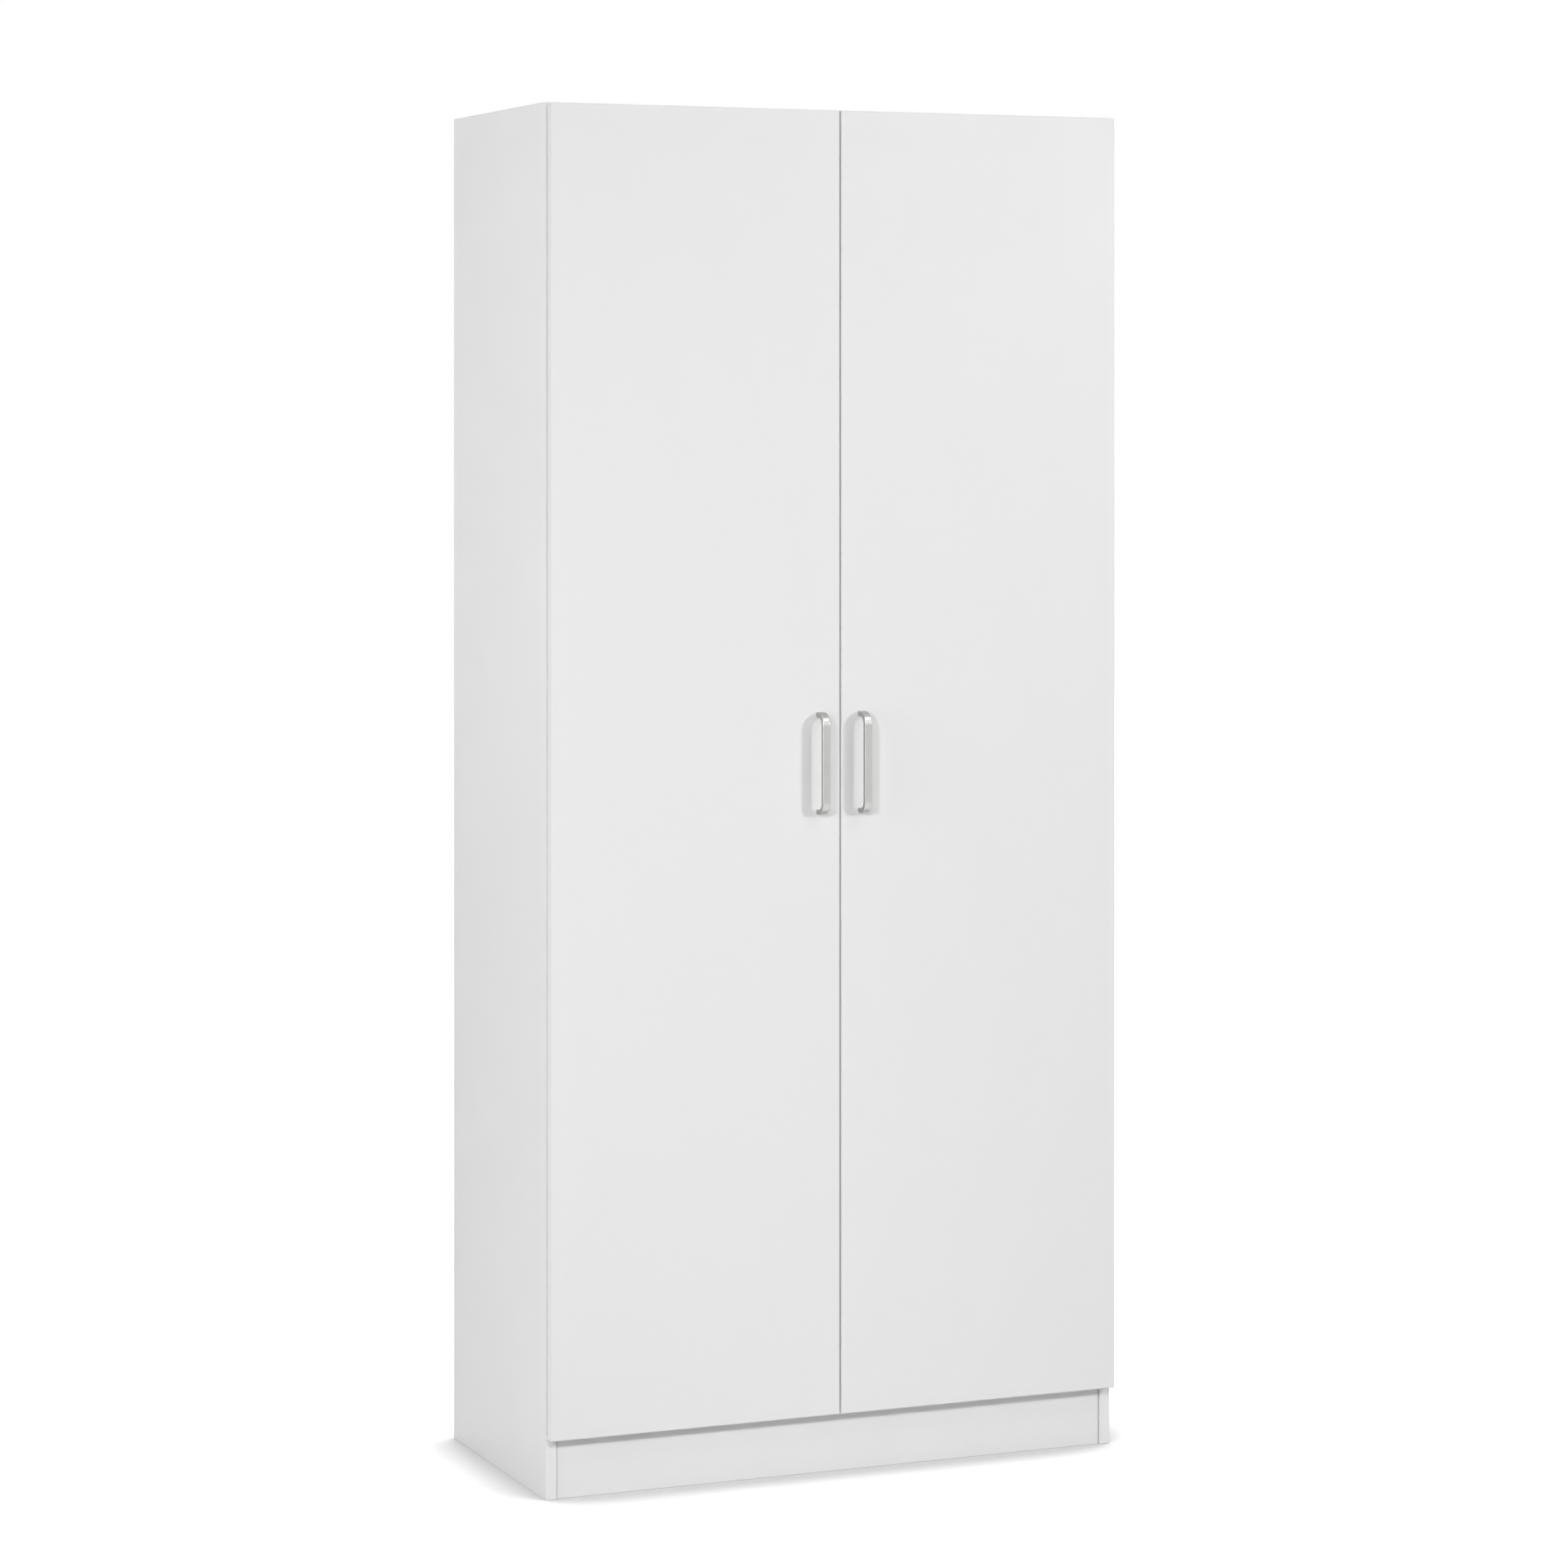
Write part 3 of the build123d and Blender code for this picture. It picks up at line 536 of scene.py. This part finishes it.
def screw_mesh(name, length, shank_radius, head_radius, head_height):
    """A domed screw with a cross recess and a ridged shank, its seat at 0 and its tip along z."""
    bm = bmesh.new()
    loops = [ring(bm, head_radius * share, -head_height * rise) for share, rise in HEAD_DOME]
    loops.append(ring(bm, shank_radius * NECK, 0.0))
    depth = THREAD_PITCH * THREAD_START
    while depth + THREAD_PITCH < length - POINT_RUN * shank_radius:
        loops.append(ring(bm, shank_radius * THREAD_ROOT, depth))
        loops.append(ring(bm, shank_radius * THREAD_CREST, depth + THREAD_PITCH / 2))
        depth += THREAD_PITCH
    loops.append(ring(bm, shank_radius * THREAD_ROOT, depth))
    loops.append(ring(bm, shank_radius * POINT_RADIUS, length * POINT_REACH))
    for upper, lower in zip(loops, loops[1:]):
        skin(bm, upper, lower)
    bm.faces.new(loops[-1])

    reach = head_radius * RECESS_REACH
    half_width = head_radius * RECESS_HALF_WIDTH
    mouth = cross(bm, reach, half_width, -head_height)
    bottom = cross(bm, reach * RECESS_FLOOR, half_width * RECESS_TAPER, -head_height * (1 - RECESS_DEPTH))
    skin(bm, mouth, bottom)
    bm.faces.new(bottom)
    rim_edges = []
    for loop in (loops[0], mouth):
        for pair in zip(loop, loop[1:] + loop[:1]):
            rim_edges.append(bm.edges.get(pair) or bm.edges.new(pair))
    bmesh.ops.triangle_fill(bm, use_beauty=True, edges=rim_edges)
    bmesh.ops.recalc_face_normals(bm, faces=bm.faces)
    mesh = bpy.data.meshes.new(name)
    bm.to_mesh(mesh)
    bm.free()
    return mesh


def detailed_screws(node_name, body, material):
    """One piece with a detailed screw at each of a CAD node's screws, standing for that node."""
    bm = bmesh.new()
    for number, points in enumerate(sorted(islands(node_name), key=lambda group: tuple(min(group)))):
        seat, direction, length, shank_radius, head_radius, head_height = measured_screw(points)
        mesh = screw_mesh("screw", length, shank_radius, head_radius, head_height)
        turn = Matrix.Rotation(math.radians(FIRST_TURN + TURN_STEP * number), 4, "Z")
        facing = direction.to_track_quat("Z", "X").to_matrix().to_4x4()
        mesh.transform(Matrix.Translation(seat) @ facing @ turn)
        bm.from_mesh(mesh)
        bpy.data.meshes.remove(mesh)
    mesh = bpy.data.meshes.new(f"{node_name}_detailed")
    bm.to_mesh(mesh)
    bm.free()
    mesh.shade_smooth()
    mesh.set_sharp_from_angle(angle=math.radians(SHARP_ANGLE))
    mesh.materials.append(material)
    piece = bpy.data.objects.new(f"{node_name}_detailed", mesh)
    bpy.context.scene.collection.objects.link(piece)
    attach(piece, body)
    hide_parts(node_name)


def all_screws(shared):
    """Detailed screws in place of the CAD's plain ones."""
    slots = {part["node"]: part["material_slot"] for part in frame["record"]["subparts"]}
    homes = {node: body for body, nodes in frame["record"]["behaviour"]["bodies"].items() for node in nodes}
    for node_name, slot in slots.items():
        if node_name.endswith("_screws"):
            detailed_screws(node_name, homes[node_name], shared[slot])


# ---------------------------------------------------------------- studio

def floor():
    """A wide pale floor: white to the camera but for a painted shade, its glow dimmed by occlusion, where the
    cabinet stands.
    """
    bm = bmesh.new()
    bmesh.ops.create_grid(bm, x_segments=1, y_segments=1, size=FLOOR_REACH)
    mesh = bpy.data.meshes.new("floor")
    bm.to_mesh(mesh)
    bm.free()
    plane = bpy.data.objects.new("floor", mesh)
    bpy.context.scene.collection.objects.link(plane)
    material, nodes, links, shader = new_material("studio_floor")
    shader.inputs["Base Color"].default_value = (FLOOR_BOUNCE, FLOOR_BOUNCE, FLOOR_BOUNCE, 1)
    shader.inputs["Roughness"].default_value = FLOOR_ROUGHNESS
    shader.inputs["Specular IOR Level"].default_value = 0.0
    shader.inputs["Emission Color"].default_value = (1, 1, 1, 1)
    # Painted contact shade: occlusion near the cabinet dims the floor's glow to the camera and in reflections
    contact = nodes.new("ShaderNodeAmbientOcclusion")
    contact.samples = CONTACT_SAMPLES
    contact.inputs["Distance"].default_value = CONTACT_REACH
    lift = remap(nodes, links, contact.outputs["AO"], *CONTACT_SPAN, PAINTED_SHADE_GLOW, OPEN_LIFT)
    links.new(math_node(nodes, links, "MULTIPLY", seen_directly(nodes, links), lift),
              shader.inputs["Emission Strength"])
    mesh.materials.append(material)


def world():
    """Even soft light, shown as white to the camera and in reflections."""
    sky = bpy.data.worlds.new("studio")
    bpy.context.scene.world = sky
    sky.use_nodes = True
    nodes, links = sky.node_tree.nodes, sky.node_tree.links
    background = nodes["Background"]
    background.inputs["Color"].default_value = (1, 1, 1, 1)
    links.new(remap(nodes, links, seen_directly(nodes, links), 0.0, 1.0, AMBIENT, 1.0),
              background.inputs["Strength"])


def area_light(name, at, target, size, power, spread=180):
    """A soft square lamp that faces a target, with its beam's spread in degrees."""
    lamp = bpy.data.lights.new(name, "AREA")
    lamp.shape = "SQUARE"
    lamp.size = size
    lamp.energy = power
    lamp.spread = math.radians(spread)
    holder = bpy.data.objects.new(name, lamp)
    holder.location = at
    holder.rotation_euler = (Vector(target) - Vector(at)).to_track_quat("-Z", "Y").to_euler()
    bpy.context.scene.collection.objects.link(holder)


def lights():
    """Small softboxes in front, lights above the front and the top, and wide fills at the sides and back."""
    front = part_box("left_door_panel")[0][1]
    for name, box in SOFTBOXES.items():
        at = (box["away"] * math.tan(math.radians(box["angle"])), front - box["away"], box["height"])
        area_light(f"softbox_{name}", at, (0, front, box["aim"]), box["size"], box["power"], box["spread"])
    for name, lamp in OVERHEADS.items():
        area_light(f"overhead_{name}", lamp["at"], lamp["aim"], lamp["size"], lamp["power"], lamp["spread"])
    for name, fill in FILLS.items():
        area_light(f"fill_{name}", fill["at"], (0, 0, fill["at"][2]), FILL_SIZE, fill["power"])


def camera():
    """The photographer's view."""
    lens = bpy.data.cameras.new("view")
    lens.lens = CAMERA_LENS
    lens.sensor_width = SENSOR_WIDTH
    lens.shift_y = CAMERA_SHIFT_Y
    lens.clip_end = CAMERA_REACH
    holder = bpy.data.objects.new("view", lens)
    holder.location = CAMERA_AT
    holder.rotation_euler = (math.radians(90), 0, -CAMERA_YAW)
    bpy.context.scene.collection.objects.link(holder)
    bpy.context.scene.camera = holder


finishes = shared_materials()
dress_nodes(finishes)
all_screws(finishes)
floor()
world()
lights()
camera()
bpy.context.scene.view_settings.view_transform = "Standard"
